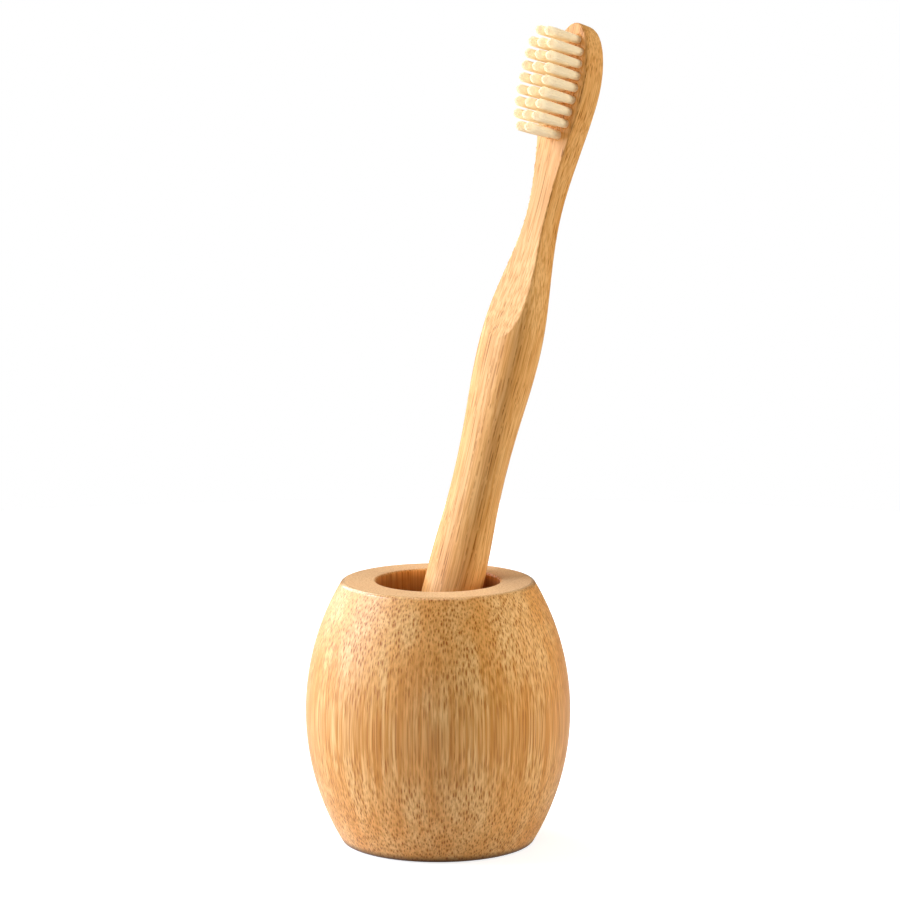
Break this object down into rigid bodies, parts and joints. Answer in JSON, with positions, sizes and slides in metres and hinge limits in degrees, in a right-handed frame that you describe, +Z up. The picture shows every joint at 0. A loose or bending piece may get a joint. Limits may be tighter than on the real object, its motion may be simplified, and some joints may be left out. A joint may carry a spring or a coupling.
{
  "type": "toothbrush holder",
  "caption": "Turned barrel-shaped bamboo holder with a round blind bore, and a bamboo toothbrush with a planed head and nylon tufts that stands leaning in it and lifts out.",
  "frame": {"origin": "centre of the barrel's base, on the surface it stands on", "axes": "+Z up along the bore's axis; +X to the right and +Y away from the viewer in the picture; the toothbrush leans towards +X and +Y"},
  "size_m": [0.0722, 0.0676, 0.1964],
  "materials": {
    "barrel_bamboo": "satin",
    "handle_bamboo": "satin",
    "bristle_nylon": "matte",
    "anchor_brass": "satin"
  },
  "bodies": {
    "holder": {"holder_barrel": "barrel_bamboo"},
    "toothbrush": {"toothbrush_handle": "handle_bamboo", "tuft_anchors": "anchor_brass", "tuft_row1_left": "bristle_nylon", "tuft_row1_right": "bristle_nylon", "tuft_row2_left": "bristle_nylon", "tuft_row2_middle": "bristle_nylon", "tuft_row2_right": "bristle_nylon", "tuft_row3_left": "bristle_nylon", "tuft_row3_middle": "bristle_nylon", "tuft_row3_right": "bristle_nylon", "tuft_row4_left": "bristle_nylon", "tuft_row4_middle": "bristle_nylon", "tuft_row4_right": "bristle_nylon", "tuft_row5_left": "bristle_nylon", "tuft_row5_middle": "bristle_nylon", "tuft_row5_right": "bristle_nylon", "tuft_row6_left": "bristle_nylon", "tuft_row6_middle": "bristle_nylon", "tuft_row6_right": "bristle_nylon", "tuft_row7_left": "bristle_nylon", "tuft_row7_middle": "bristle_nylon", "tuft_row7_right": "bristle_nylon", "tuft_row8_left": "bristle_nylon", "tuft_row8_middle": "bristle_nylon", "tuft_row8_right": "bristle_nylon", "tuft_row9_left": "bristle_nylon", "tuft_row9_right": "bristle_nylon"}
  },
  "joints": [
    {"name": "brush_lift", "type": "slide", "parent": "holder", "child": "toothbrush", "axis": [0, 0, 1], "range_m": [0, 0.07]}
  ]
}
